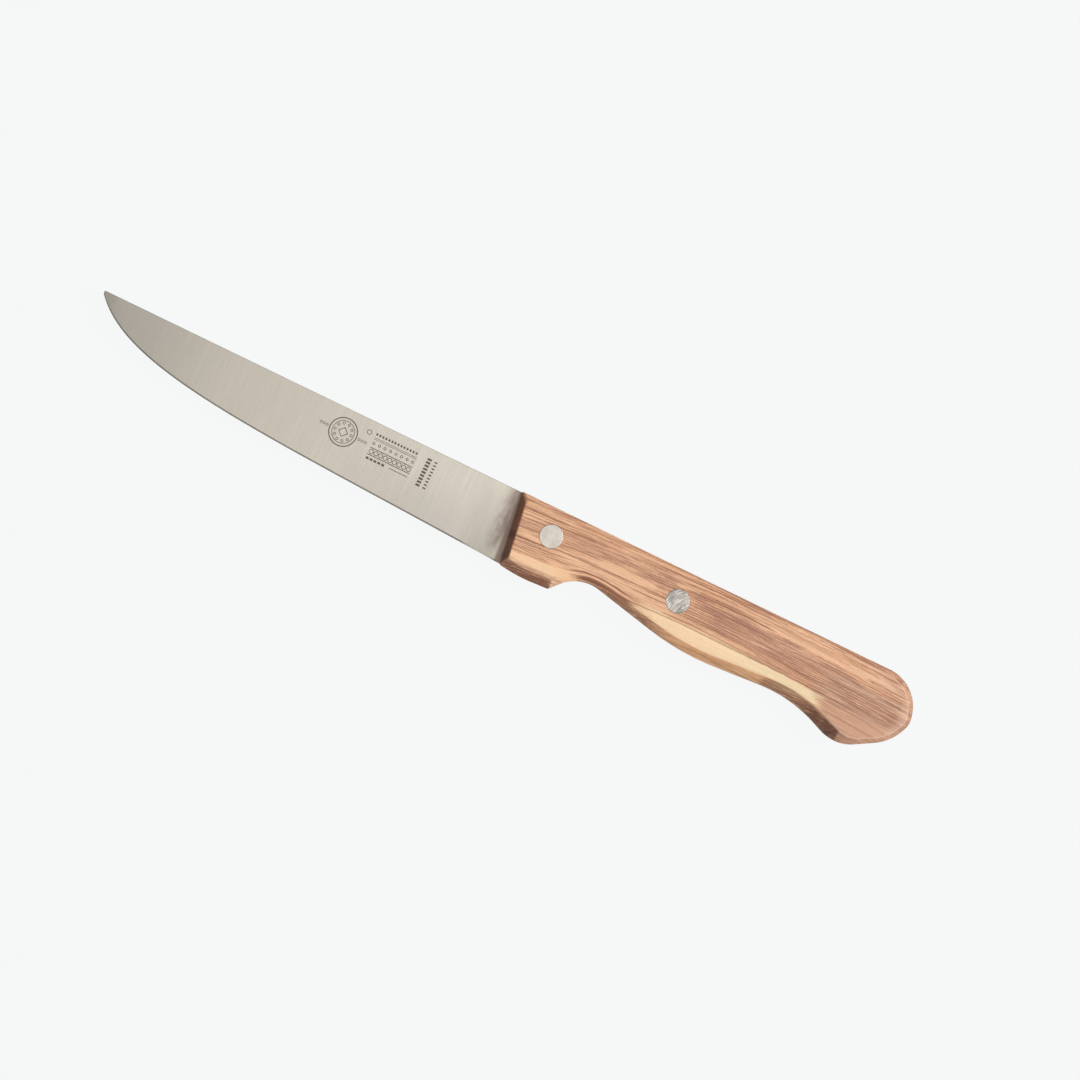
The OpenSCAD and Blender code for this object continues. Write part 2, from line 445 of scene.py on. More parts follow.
def blade_ring(t):
    """One closed cross-section, down the upper side and back up the lower side."""
    (spine, spine_z), (foot, foot_z), (edge, edge_z) = blade_section(t)
    height = (spine - foot).length
    ease = min(SPINE_EASE, height / 4, spine_z / 2)
    side = [(0, spine_z - ease), (0.3 * ease, spine_z - 0.3 * ease)]
    for part in FLANK_LINES:
        share = mix(ease / height, 1, part)
        side.append((share * height, mix(spine_z, foot_z, share)))
    down = (foot - spine).normalized()
    half = [(spine + down * run, z) for run, z in side] + [(edge, edge_z)]
    upper = [(p.x, p.y, MID_Z + z) for p, z in half]
    lower = [(p.x, p.y, MID_Z - z) for p, z in reversed(half)]
    return upper + lower


def make_blade():
    rings = [blade_ring(k / BLADE_STATIONS) for k in range(BLADE_STATIONS + 1)]
    embed = 2
    rings.append([(x + embed, y, z) for x, y, z in rings[-1]])
    points, faces = skin([list(reversed(ring)) for ring in rings])
    blade = make_object("ground_blade", points, faces, BLADE_CREASE)
    tang = plate("tang", handle_ring(0), MID_Z - BLADE_T / 2, MID_Z + BLADE_T / 2)
    beyond = plate("beyond", saw_sweep(TANG_LEN), 0, HANDLE_T)
    combine(tang, [beyond], "INTERSECT")
    combine(blade, [tang], "UNION")
    hole_r = TUBE_D / 2 + 0.1
    holes = [lathe("hole", [(hole_r, 0), (hole_r, HANDLE_T)], c) for c in RIVETS.values()]
    combine(blade, holes, "DIFFERENCE")
    clean(blade)
    shade(blade, BLADE_CREASE)
    return blade


# ---------------------------------------------------------------- rivets

def head_profile():
    """(radius, depth) points over a rivet head's face and down its rim."""
    r = HEAD_D / 2 - HEAD_GAP
    return [(AXIS_R, 0), (0.5 * r, 0), (r - 2 * HEAD_EASE, 0), (r - HEAD_EASE, 0),
            (r - 0.3 * HEAD_EASE, 0.3 * HEAD_EASE), (r, HEAD_EASE), (r, HEAD_T)]


def make_rivet_tube(name, centre):
    wall = TUBE_D / 2 - HEAD_GAP
    bore = PIN_D / 2 + HEAD_GAP
    floor = HEAD_T + TUBE_FLOOR
    end = HANDLE_T - HEAD_T - TUBE_SHORT
    inside = [(wall, HEAD_T), (wall, end), (bore, end), (bore, floor), (AXIS_R, floor)]
    return lathe(name + "_rivet_socket", head_profile() + inside, centre)


def make_rivet_pin(name, centre):
    profile = head_profile() + [(PIN_D / 2, HEAD_T), (PIN_D / 2, PIN_REACH), (AXIS_R, PIN_REACH)]
    turned = [(r, HANDLE_T - z) for r, z in reversed(profile)]
    return lathe(name + "_rivet_plug", turned, centre)


# ---------------------------------------------------------------- etched mark

MARK_T = 0.012  # height of the etching above the steel
BAR_STEP = 2
HALVINGS = 40  # of the search for the blade's section at a point

# Middle of the rings, and the ends of the long rules beside them
RINGS_AT = (-52.6, -6.6)
RULE_FROM = -43.9
RULE_TO = -30.8


def face_height(x, y):
    """Height of the blade's upper side at a drawing point in front of the handle."""
    low, high = 0, 1
    for _ in range(HALVINGS):
        t = (low + high) / 2
        low, high = (t, high) if cutting_edge(t).x < x else (low, t)
    (spine, spine_z), (foot, foot_z), _ = blade_section(t)
    return MID_Z + mix(spine_z, foot_z, y / foot.y)


def strip(points, faces, pairs, closed=False):
    """Adds a closed sliver of etching that runs between pairs of points on the blade's side."""
    first = len(points)
    for a, b in pairs:
        for p, lift in ((a, MARK_T), (b, MARK_T), (b, -MARK_T), (a, -MARK_T)):
            points.append((p.x, p.y, face_height(p.x, p.y) + lift))
    count = len(pairs)
    for i in range(count if closed else count - 1):
        here, there = first + 4 * i, first + 4 * ((i + 1) % count)
        for k in range(4):
            m = (k + 1) % 4
            faces.append((here + k, here + m, there + m, there + k))
    if not closed:
        last = first + 4 * (count - 1)
        faces.append((first + 3, first + 2, first + 1, first))
        faces.append((last, last + 1, last + 2, last + 3))


def bar(shape, x, y, length, width):
    """A straight bar from its lower left corner, with its length along x."""
    steps = max(1, round(length / BAR_STEP))
    xs = [x + length * k / steps for k in range(steps + 1)]
    strip(*shape, [(flat(a, y + width), flat(a, y)) for a in xs])


def rule(shape, y, width):
    bar(shape, RULE_FROM, y - width / 2, RULE_TO - RULE_FROM, width)


def hoop(shape, x, y, radius, width, sides=72):
    """A flat ring; with four sides it is a diamond."""
    angles = [2 * math.pi * k / sides for k in range(sides)]
    rim = [flat(math.cos(a), math.sin(a)) for a in angles]
    centre = flat(x, y)
    strip(*shape, [(centre + (radius - width) * r, centre + radius * r) for r in rim], True)


def draw_rings(shape):
    """Two rings round a diamond and a circle of small hoops, with three hoops on either side."""
    x, y = RINGS_AT
    hoop(shape, x, y, 4.2, 0.3)
    hoop(shape, x, y, 3.3, 0.18)
    hoop(shape, x, y, 1.5, 0.3, sides=4)
    beads, bead_reach = 10, 2.5
    for k in range(beads):
        a = 2 * math.pi * k / beads
        hoop(shape, x + bead_reach * math.cos(a), y + bead_reach * math.sin(a), 0.42, 0.18, 16)
    for side in (-1, 1):
        for k in range(3):
            hoop(shape, x + side * (4.95 + 0.95 * k), y, 0.4, 0.16, 16)


def draw_rules(shape):
    """Rows of dashes, diamonds and hoops between rules, to the right of the rings."""
    hoop(shape, -45.9, -3.4, 0.75, 0.2, 24)
    for k in range(14):
        bar(shape, RULE_FROM + 0.94 * k, -3.4, 0.55, 0.65)
    for y in (-4.15, -4.6):
        rule(shape, y, 0.14)
    for k in range(8):
        hoop(shape, -43.4 + 1.72 * k, -5.75, 0.52, 0.24, 4)
    for y in (-7.1, -9.1):
        rule(shape, y, 0.22)
    for k in range(9):
        hoop(shape, -43.1 + 1.44 * k, -8.1, 0.7, 0.2, 24)
    for k in range(5):
        bar(shape, -43.8 + 1.2 * k, -10.5, 0.85, 0.65)
    bar(shape, -36.6, -10.3, 5.6, 0.2)


def draw_columns(shape):
    """Two columns of dashes near the handle."""
    for k in range(9):
        bar(shape, -28.0, -3.35 - 0.98 * k, 1.3, 0.6)
        bar(shape, -25.8, -3.3 - 0.98 * k, 0.9, 0.4)


def make_mark():
    """A plain maker's-plate pattern of rings, rules and dashes, with no lettering."""
    shape = ([], [])
    draw_rings(shape)
    draw_rules(shape)
    draw_columns(shape)
    return make_object("etched_mark", *shape, CREASE)


# ---------------------------------------------------------------- material kit

def srgb(r, g, b):
    """A display colour, 0 to 255, as the linear colour that the shaders use."""
    linear = [(v / 255 / 12.92) if v < 10.3 else ((v / 255 + 0.055) / 1.055) ** 2.4
              for v in (r, g, b)]
    return (*linear, 1)


class Field:
    """A value that varies over a surface. Arithmetic on it adds nodes to its material."""

    def __init__(self, socket):
        self.socket = socket
        self.tree = socket.id_data

    def node(self, kind, **settings):
        made = self.tree.nodes.new(kind)
        for name, value in settings.items():
            setattr(made, name, value)
        return made

    def feed(self, socket, value):
        if isinstance(value, Field):
            self.tree.links.new(value.socket, socket)
        else:
            socket.default_value = value

    def math(self, operation, *others):
        node = self.node("ShaderNodeMath", operation=operation)
        for socket, value in zip(node.inputs, (self, *others)):
            self.feed(socket, value)
        return Field(node.outputs[0])

    def __add__(self, other):
        return self.math("ADD", other)

    def __sub__(self, other):
        return self.math("SUBTRACT", other)

    def __mul__(self, other):
        return self.math("MULTIPLY", other)

    def abs(self):
        return self.math("ABSOLUTE")

    def sine(self):
        return self.math("SINE")

    def at_least(self, other):
        return self.math("MAXIMUM", other)

    def step(self, start, end):
        """0 before start, 1 after end, and smooth between; start may lie above end."""
        node = self.node("ShaderNodeMapRange", interpolation_type="SMOOTHSTEP")
        self.feed(node.inputs["Value"], self)
        self.feed(node.inputs["From Min"], start)
        self.feed(node.inputs["From Max"], end)
        return Field(node.outputs["Result"])

    def between(self, low, high, soft):
        """1 between low and high, falling to 0 over a soft border on each side."""
        return self.step(low - soft, low + soft) * self.step(high + soft, high - soft)


class Colour(Field):
    """A colour that varies over a surface."""

    def toward(self, other, share):
        """This colour mixed with another by a share."""
        node = self.node("ShaderNodeMix", data_type="RGBA", blend_type="MIX")
        self.feed(node.inputs["Factor"], share)
        node_a, node_b = (s for s in node.inputs if s.type == "RGBA")
        self.feed(node_a, self)
        self.feed(node_b, other)
        return Colour(next(s for s in node.outputs if s.type == "RGBA"))


def distance(x, y):
    """How far a surface point lies from the place that its fields x and y are measured from."""
    return (x * x + y * y).math("SQRT")


class Finish:
    """A material under construction, with its position on the object in drawing millimetres."""

    def __init__(self, name):
        self.material = bpy.data.materials.new(name)
        self.material.use_nodes = True
        self.tree = self.material.node_tree
        self.shader = next(n for n in self.tree.nodes if n.type == "BSDF_PRINCIPLED")
        coordinates = self.tree.nodes.new("ShaderNodeTexCoord")
        x, y, z = self.split(coordinates.outputs["Object"])
        self.x = (x - SHIFT_X) * (1 / MM)
        self.y = (y - SHIFT_Y) * (1 / MM)
        self.z = z * (1 / MM)
        self.facing_x, self.facing_y, self.facing_z = self.split(coordinates.outputs["Normal"])

    def split(self, socket):
        node = self.tree.nodes.new("ShaderNodeSeparateXYZ")
        self.tree.links.new(socket, node.inputs[0])
        return [Field(s) for s in node.outputs]

    def noise(self, x, y, z, detail, roughness=0.5, seed=0):
        """Cloudy noise, 0 to 1, of three fields; one unit is about one lump. The seed moves it
        so far along that noises of the same fields don't agree."""
        moved_x, moved_y = x + 17.3 * seed, y + 5.1 * seed
        join = self.tree.nodes.new("ShaderNodeCombineXYZ")
        for socket, value in zip(join.inputs, (moved_x, moved_y, z)):
            self.tree.links.new(value.socket, socket)
        node = self.tree.nodes.new("ShaderNodeTexNoise")
        node.inputs["Scale"].default_value = 1
        node.inputs["Detail"].default_value = detail
        node.inputs["Roughness"].default_value = roughness
        self.tree.links.new(join.outputs[0], node.inputs["Vector"])
        return Field(node.outputs["Fac"])

    def colour(self, rgba):
        node = self.tree.nodes.new("ShaderNodeRGB")
        node.outputs[0].default_value = rgba
        return Colour(node.outputs[0])

    def set(self, name, value):
        """Gives one of the shader's inputs a constant or a field."""
        socket = self.shader.inputs[name]
        if isinstance(value, Field):
            self.tree.links.new(value.socket, socket)
        else:
            socket.default_value = value

    def bump(self, height, distance_mm, strength):
        node = self.tree.nodes.new("ShaderNodeBump")
        node.inputs["Strength"].default_value = strength
        node.inputs["Distance"].default_value = distance_mm * MM
        self.tree.links.new(height.socket, node.inputs["Height"])
        self.tree.links.new(node.outputs["Normal"], self.shader.inputs["Normal"])


def finish_piece(obj, finish, slot, *nodes):
    """Gives a piece its material and lets it stand for its CAD nodes; its slot is not used. It is
    kept within the CAD model's box, which rounding could otherwise leave by a hair."""
    for point in obj.data.vertices:
        point.co = [min(max(v, low), high) for v, low, high in zip(point.co, cad_low, cad_high)]
    obj.data.materials.clear()
    obj.data.materials.append(finish.material)
    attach(obj, BODY)
    if nodes:
        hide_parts(*nodes)


# ---------------------------------------------------------------- wood

# Growth layers: their spacing, how they sag towards the middle of the handle and tilt through
# its thickness, and the arch that they make over the finger notch
RING_GAP = 1.3
GRAIN_CENTRE_X = 70
GRAIN_SAG = 0.00055
GRAIN_TILT = 0.2
ARCH_RISE = 1.6
ARCH_UP = (18, 28)
ARCH_DOWN = (42, 29)
ARCH_DEPTH = (-10, -13)

# Sapwood: its upper edge and how that drops behind GRAIN_CENTRE_X, and where it ends on the
# lower face and how much farther back it ends for every millimetre above that
SAP_TOP = (-13.1, -13.6)
SAP_DROP = 0.035
SAP_END = 14.7
SAP_END_LEAN = 5.3

# Where the hook's dark side, in painted shade, meets its light one, at the hook's point
HOOK_POINT = (108.9, 107.9)

# Middle of the arc that the painted highlight round the butt's rim follows, and its radius
BUTT_CENTRE = (108.5, -10.5)
BUTT_REACH = 15.5

HEART = srgb(220, 165, 129)
HEART_LIGHT = srgb(247, 197, 158)
HEART_DARK = srgb(166, 118, 98)
HEART_GREY = srgb(180, 143, 121)
SAP = srgb(250, 217, 176)
SAP_PALE = srgb(243, 219, 178)
SAP_EDGE = srgb(230, 168, 116)
FLANK = srgb(255, 206, 164)
# Partly the lower bevels' brown and partly painted shade
LOWER_BROWN_AND_SHADE = srgb(150, 102, 74)
BUTT_ROSE = srgb(230, 194, 170)
LINE = srgb(134, 84, 60)
# End grain's colour with painted shade, for the front and the hook's and guard's lower bevels
END_GRAIN_AND_SHADE = srgb(114, 72, 50)
END_GRAIN_AND_SHADE_DARK = srgb(86, 50, 34)

# Patches of colour on the faces: x from and to, y from and to, softness in x and in y,
# colour, strength. The growth lines run over the zones, and the washes cover the lines.
ZONES = [
    (39, 49, -7.3, -4.9, 3, 0.8, HEART_DARK, 0.85),
    (56, 90, -7.4, -4.9, 4, 0.8, HEART_DARK, 0.85),
    (66, 114, -0.9, 1, 6, 0.5, HEART_DARK, 0.5),
    (112, 126, -3.2, 1, 3, 0.8, HEART_DARK, 0.35),
    (100, 124, -24, -14.6, 4, 0.8, HEART_GREY, 0.5),
    (60, 94, -10.6, -7.4, 5, 1.0, HEART_DARK, 0.65),
    (56, 100, -12.4, -10.2, 6, 0.8, HEART_DARK, 0.4),
    (88, 104, -7.4, -5.4, 5, 0.6, HEART_DARK, 0.65),
    (44, 50, -5, -2.6, 2, 0.6, HEART_DARK, 0.6),
    (98, 125, -15, -7.2, 5, 1.0, HEART_GREY, 0.9),
    (2, 12, -8.9, -6.4, 3, 0.5, HEART_DARK, 0.35),
    (2, 11, -20, 0, 4, 3, HEART_LIGHT, 0.55),
    (16, 36, -6.3, -4.2, 6, 0.8, HEART_DARK, 0.35),
    (18, 52, -12.4, -9.6, 6, 0.7, HEART_LIGHT, 0.9),
    (105, 124, -14, -10.4, 3, 0.8, HEART_DARK, 0.85),
    (36, 50, -2.9, -1.2, 3, 0.5, HEART_DARK, 0.35),
    (74, 100, -2.4, -0.6, 6, 0.6, HEART_LIGHT, 0.85),
]
WASHES = [
    (28, 46, -9.1, -6.8, 3, 0.5, HEART_LIGHT, 0.72),
    (20, 30, -9.1, -8.0, 3, 0.5, HEART_LIGHT, 0.5),
    (4, 17, -10.7, -9.3, 3, 0.4, HEART_LIGHT, 0.75),
    (74, 116, -4.9, -3.3, 5, 0.6, HEART_LIGHT, 0.65),
    (60, 80, -13.3, -12.3, 4, 0.25, HEART_LIGHT, 0.65),
    (32, 42, -4.6, -3.1, 3, 0.5, HEART_LIGHT, 0.4),
    (50, 57, -4.6, -3.1, 2, 0.5, HEART_LIGHT, 0.4),
    (108, 121, -5, -3.4, 6, 0.8, BUTT_ROSE, 0.4),
    (18, 26, -10.9, -9.5, 3, 0.5, HEART_LIGHT, 0.5),
    (34, 43, -12.6, -11.3, 3, 0.5, HEART_LIGHT, 0.5),
    (17, 24, -18, -13.4, 2, 0.9, FLANK, 0.7),
    # The next wash is painted shade along the top of the guard's bevel
    (2, 17, -19, -17.9, 2, 0.6, HEART_DARK, 0.7),
    (44, 50, -15.5, -12.8, 3, 0.6, SAP, 0.6),
    (41, 52, -12.7, -11.4, 3, 0.5, HEART_LIGHT, 0.5),
    (17, 28, -12.6, -11.4, 3, 0.5, HEART_LIGHT, 0.4),
    (16, 27, -6.7, -5.4, 3, 0.5, HEART_LIGHT, 0.35),
    (8, 20, -2.6, -1.4, 3, 0.5, HEART_LIGHT, 0.4),
]

# Single dark growth lines: x from and to, and a point on the line (x, y), half width, strength
STREAKS = [
    (2, 14, (7, -11.25), 0.2, 0.9),
    (2, 12, (7, -12.1), 0.16, 0.55),
    (2, 12, (6, -6.0), 0.2, 0.5),
    (2, 30, (10, -3.0), 0.14, 0.4),
    (14, 50, (28, -9.7), 0.2, 0.65),
    (53, 80, (62, -4.25), 0.2, 0.8),
    (44, 80, (65, -1.2), 0.18, 0.65),
    (40, 100, (70, -13.75), 0.16, 0.65),
    (50, 100, (70, -12.9), 0.14, 0.6),
    # The last two lines, over the finger notch, are partly growth lines and partly painted shade
    # on the notch's bevel
    (23, 39, (29, -12.2), 0.3, 0.9),
    (24, 41, (29, -13.4), 0.45, 0.95),
]


def ramp(value, start, end):
    """What Field.step gives for a plain number."""
    return smooth((value - start) / (end - start))


def grain_level(x, y):
    """Which growth layer passes through a point on the upper face; see PlumWood."""
    arch = ramp(x, *ARCH_UP) * ramp(x, *ARCH_DOWN) * ramp(y, *ARCH_DEPTH)
    return y + GRAIN_SAG * (x - GRAIN_CENTRE_X) ** 2 - ARCH_RISE * arch


class PlumWood(Finish):
    """Plum-like wood: brown heart with fine wavy lines, and a cream sap band at the belly. Each
    with_ method lays one thing over a tone and returns the new tone."""

    def __init__(self, name):
        super().__init__(name)
        x, y, z = self.x, self.y, self.z
        self.depth = z * -1 + HANDLE_T
        off = x - GRAIN_CENTRE_X
        arch = x.step(*ARCH_UP) * x.step(*ARCH_DOWN) * y.step(*ARCH_DEPTH)
        level = y + off * off * GRAIN_SAG - arch * ARCH_RISE + self.depth * GRAIN_TILT
        drift = self.noise(x * 0.04, y * 0.16, z * 0.12, 1)
        waver = self.noise(x * 0.45, level * 1.1, z * 0.3, 3, 0.6, seed=1)
        self.grain = level + (drift - 0.5) * 1.2 + (waver - 0.5) * 0.5

        self.broad = self.layered(0.022, 0.5, 0.2, 2, seed=2)
        self.middle = self.layered(0.025, 1.2, 0.5, 2, 0.6, seed=3)
        self.fine = self.layered(0.06, 3.6, 1.2, 3, 0.7, seed=4)
        self.fibre = self.layered(0.7, 9, 6, 2, seed=5)
        self.ragged = self.layered(0.14, 0.9, 0.3, 4, 0.7, seed=6) - 0.5
        self.speckle = self.layered(1.1, 2.6, 2, 2, 0.6, seed=7)

        drop = off.at_least(0) * SAP_DROP
        sap = (self.grain + drop + self.ragged * 0.6).step(*SAP_TOP)
        sap = sap * (x - (z * SAP_END_LEAN + SAP_END) + self.ragged * 8).step(3, -3)
        self.sap = sap * (x.between(20, 46, 4) * -0.75 + 1)
        self.under = (self.facing_y * -1 + self.ragged * 0.35).step(0.3, 0.6)

        phase = self.grain * (2 * math.pi / RING_GAP)
        phase = phase + (self.middle - 0.5) * 3 + (self.broad - 0.5) * 12
        self.rings = phase.sine().step(0.4, 0.98)
        half_rings = (phase * 2.3 + (self.fine - 0.5) * 2).sine().step(0.4, 0.95)
        lines = self.rings * self.middle.step(0.7, 0.42) * 0.9
        lines = lines.at_least(half_rings * self.middle.step(0.34, 0.55) * 0.85)
        lines = lines.at_least(self.fine.step(0.46, 0.38) * 0.85)
        self.lines = lines * (self.speckle * 0.9 + 0.55)

    def layered(self, along, across, through, detail, roughness=0.5, *, seed):
        """Noise that follows the growth layers, with its lumps per millimetre each way."""
        return self.noise(self.x * along, self.grain * across, self.z * through,
                          detail, roughness, seed)

    def spread(self, tone, patches):
        """Lays ragged patches, which fade away below the upper face, over a tone."""
        cloudy = (self.speckle * 0.5 + 0.75) * self.depth.step(9, 2)
        ragged_x = self.x + self.ragged * 20
        ragged_y = self.y + self.ragged * 2.6
        for x0, x1, y0, y1, soft_x, soft_y, colour, strength in patches:
            patch = ragged_y.between(y0, y1, soft_y) * ragged_x.between(x0, x1, soft_x)
            tone = tone.toward(colour, patch * cloudy * strength)
        return tone

    def heart(self):
        tone = self.colour(HEART).toward(HEART_LIGHT, self.broad.step(0.5, 0.72) * 0.5)
        tone = tone.toward(HEART_DARK, self.broad.step(0.48, 0.28) * 0.6)
        return self.spread(tone, ZONES)

    def with_sapwood(self, tone):
        x = self.x
        cream = self.colour(FLANK).toward(SAP, x.step(-20, 44)).toward(SAP_PALE, x.step(60, 88))
        return tone.toward(cream, self.sap * 0.95)

    def with_lower_side(self, tone):
        """Colours the bevels and sides that face the edge's way, from the guard to the hook:
        partly the wood's browner edge, partly painted shade, darkest on the hook's lower bevel.
        """
        x, under = self.x, self.under
        before_point = x.step(*HOOK_POINT)
        waist = (x + self.ragged * 6).step(82, 84) * before_point * 0.75
        brown = x.between(2, 18, 0.6).at_least(waist).at_least(x.between(29, 50, 6) * 0.8)
        tone = tone.toward(SAP_EDGE, under * self.sap * x.between(44, 86, 3) * 0.8)
        tone = tone.toward(LOWER_BROWN_AND_SHADE, under * brown)
        # Painted shade on the hook's lower bevel
        tone = tone.toward(END_GRAIN_AND_SHADE, under * x.step(93, 100) * before_point * 0.95)
        tone = tone.toward(END_GRAIN_AND_SHADE, under * x.step(18, 16) * 0.4)
        return tone.toward(FLANK, under * x.between(19.5, 24, 1.2))

    def with_lines(self, tone):
        """Draws growth lines and pores, which nearly vanish in the sapwood and at the hook."""
        quiet = self.sap * (self.under * 0.5 - 0.86) + 1
        quiet = quiet * (self.x.step(95, 102) * self.y.step(-13.8, -15.5) * -0.55 + 1)
        tone = tone.toward(LINE, self.lines * quiet * 0.8)
        tone = tone.toward(HEART_LIGHT, self.fine.step(0.52, 0.62) * quiet * 0.65)
        tone = self.spread(tone, WASHES)
        for x0, x1, (px, py), half, strength in STREAKS:
            reach = (self.grain - grain_level(px, py)).abs().step(half * 1.6, half * 0.4)
            reach = reach * self.x.between(x0, x1, 2.5) * self.depth.step(6, 1)
            tone = tone.toward(LINE, reach * strength)
        pores = self.fibre.step(0.42, 0.27) * (self.fine.step(0.65, 0.4) * 0.3 + 0.15)
        return tone.toward(LINE, pores)

    def with_end_grain(self, tone):
        """Darkens the handle's front, partly for its end grain and partly as painted shade where
        it faces away from the key light, and greys its butt a little.
        """
        # Painted shade and end grain on the faces turned to the front
        front = (self.facing_x * -1).step(0.12, 0.55)
        band = (self.y + self.ragged).between(-13, -10.5, 0.8)
        end = self.colour(END_GRAIN_AND_SHADE).toward(END_GRAIN_AND_SHADE_DARK, band)
        end = end.toward(END_GRAIN_AND_SHADE_DARK, self.y.step(-14, -18) * 0.9 + self.rings * 0.3)
        tone = tone.toward(end, front * 0.97)
        return tone.toward(HEART_GREY, self.facing_x.step(0.3, 0.8) * 0.4)

    def with_ridge_highlights(self, tone):
        """Paints a highlight along each bevel's ridge, and a wider one round the butt's rim."""
        x, up = self.x, self.facing_z
        # Painted highlight on the bevels' ridges
        ridge_highlights = up.between(0.8, 0.96, 0.05) * (x.step(88, 112) * 0.55 + 0.1)
        butt_x, butt_y = x - BUTT_CENTRE[0], self.y - BUTT_CENTRE[1]
        # Painted highlight round the butt's rim
        rim = distance(butt_x, butt_y).step(BUTT_REACH - 4, BUTT_REACH)
        rim = rim * butt_y.step(9, 5) * butt_x.step(0, 4) * up.step(0.8, 0.96)
        pale = self.colour(HEART_LIGHT).toward(BUTT_ROSE, x.step(84, 112))
        return tone.toward(pale, ridge_highlights.at_least(rim * 0.45))


def wood_finish():
    wood = PlumWood("plum_wood")
    tone = wood.with_sapwood(wood.heart())
    tone = wood.with_lines(wood.with_lower_side(tone))
    wood.set("Base Color", wood.with_ridge_highlights(wood.with_end_grain(tone)))
    wood.set("Roughness", wood.fine * 0.18 + 0.42)
    wood.set("Specular IOR Level", 0.35)
    wood.bump(wood.fibre * 0.5 + wood.fine * 0.5 - wood.lines * 0.8, 0.05, 0.5)
    return wood


# ---------------------------------------------------------------- metals

# Colours of the metals, linear
STEEL = (0.548, 0.503, 0.432, 1)
STEEL_GROOVE = (0.42, 0.384, 0.328, 1)
STEEL_BRIGHT = (0.64, 0.59, 0.512, 1)
# Painted shade: the lower heel's darker reflection
STEEL_HEEL_SHADE = (0.42, 0.385, 0.35, 1)
# Painted shade: the tip's darker reflection
STEEL_TIP_SHADE = (0.43, 0.395, 0.345, 1)
# Painted shade before the handle, and a darker painted contact shadow in the wedge along it
HANDLE_SHADE = (0.255, 0.198, 0.163, 1)
CONTACT_SHADE = (0.215, 0.156, 0.12, 1)
ETCHED = (0.075, 0.06, 0.045, 1)
ETCHED_PALE = (0.14, 0.115, 0.09, 1)
SCRATCH = (0.95, 0.92, 0.86, 1)
HEAD_RIM = (0.3, 0.24, 0.19, 1)

# Rivets' bright and dull colours, direction of the belt in degrees, and share of scratches
RIVET_LOOKS = {
    "front": ((0.51, 0.463, 0.405, 1), (0.44, 0.402, 0.355, 1), 95, 0.14),
    "rear": ((0.34, 0.317, 0.29, 1), (0.2, 0.188, 0.176, 1), 60, 0.7),
}


def shaded_near_handle(steel, tone):
    """Painted shade and painted reflection of the handle's dark front on the steel before it, less
    near the edge, and darkest in a narrow wedge of painted contact shadow along the wood."""
    x, y = steel.x, steel.y
    ragged = steel.noise(x * 0.7, y * 0.35, steel.z, 3, 0.6, seed=3) - 0.5
    # Painted shade where the handle's front is reflected and blocks the key light
    handle_shade = (x + ragged * 2.2).step(-5.5, -0.2) * (ragged * 0.9 + 0.9)
    handle_shade = handle_shade * (y.step(-20, -14) * 0.7 + 0.3)
    handle_shade = handle_shade * (x.step(-0.8, 0.4) * y.step(-12, -15) * -0.4 + 1)
    # Painted contact shadow in a narrow wedge along the handle's leaning front
    wedge = y * (0.07 - FRONT_LEAN / HEEL_H) - x
    return tone.toward(HANDLE_SHADE, handle_shade).toward(CONTACT_SHADE, wedge.step(1, 0.1) * 0.9)


def steel_finish():
    """Satin-ground stainless steel, with its grinding lines across the blade."""
    steel = Finish("ground_steel")
    x, y, z = steel.x, steel.y, steel.z
    lines = steel.noise(x * 9, y * 0.12, z * 0.1, 3, 0.65)
    broad = steel.noise(x * 1.1, y * 0.05, z * 0.05, 3, 0.6, seed=1)
    cloud = steel.noise(x * 0.06, y * 0.12, z * 0.1, 2, seed=2)
    tone = steel.colour(STEEL).toward(STEEL_GROOVE, lines.step(0.55, 0.3) * 0.5)
    tone = tone.toward(STEEL_BRIGHT, broad.step(0.5, 0.75) * 0.4)
    # Painted shade over the lower heel, for its darker reflection
    heel_shade = y.step(-3, -18) * x.step(-60, -20) * x.step(-6, -15)
    tone = tone.toward(STEEL_HEEL_SHADE, heel_shade * 0.55)
    # Painted shade towards the tip, for its darker reflection
    tone = tone.toward(STEEL_TIP_SHADE, x.step(-86, -116) * 0.7)
    steel.set("Base Color", shaded_near_handle(steel, tone))
    steel.set("Metallic", 1.0)
    steel.set("Roughness", lines * 0.12 + cloud * 0.06 + 0.24)
    steel.bump(lines * 0.7 + broad * 0.3, 0.004, 1.0)
    return steel


def mark_finish():
    """Steel darkened by etching."""
    mark = Finish("etched_steel")
    grain = mark.noise(mark.x * 6, mark.y * 1.5, mark.z, 2)
    mark.set("Base Color", mark.colour(ETCHED).toward(ETCHED_PALE, grain))
    mark.set("Metallic", 0.3)
    mark.set("Roughness", grain * 0.2 + 0.5)
    return mark


def alloy_finish(name, centre, bright, dull, turn_degrees, scratched):
    """Aluminium rivet ground flush with the wood, with the belt's scratches on its heads."""
    alloy = Finish(name)
    a = math.radians(turn_degrees)
    x, y = alloy.x - centre[0], alloy.y - centre[1]
    along = x * math.cos(a) + y * math.sin(a)
    across = x * -math.sin(a) + y * math.cos(a) + along * along * 0.06
    belt = alloy.noise(along * 0.35, across * 7, alloy.z, 3, 0.65)
    deep = alloy.noise(along * 0.25, across * 3.2, alloy.z, 2, 0.6, seed=1)
    cloud = alloy.noise(x * 0.5, y * 0.5, alloy.z * 0.5, 2, seed=2)
    tone = alloy.colour(bright).toward(dull, cloud.step(0.4, 0.7))
    tone = tone.toward(SCRATCH, deep.step(0.53, 0.7) * scratched)
    rim = distance(x, y).step(HEAD_D / 2 - 0.2, HEAD_D / 2 - 0.02)
    alloy.set("Base Color", tone.toward(HEAD_RIM, rim * 0.4))
    alloy.set("Metallic", 0.85)
    alloy.set("Roughness", belt * 0.15 + 0.4)
    alloy.bump(belt * 0.6 + deep * 0.4, 0.01, 0.8)
    return alloy


# ---------------------------------------------------------------- pieces

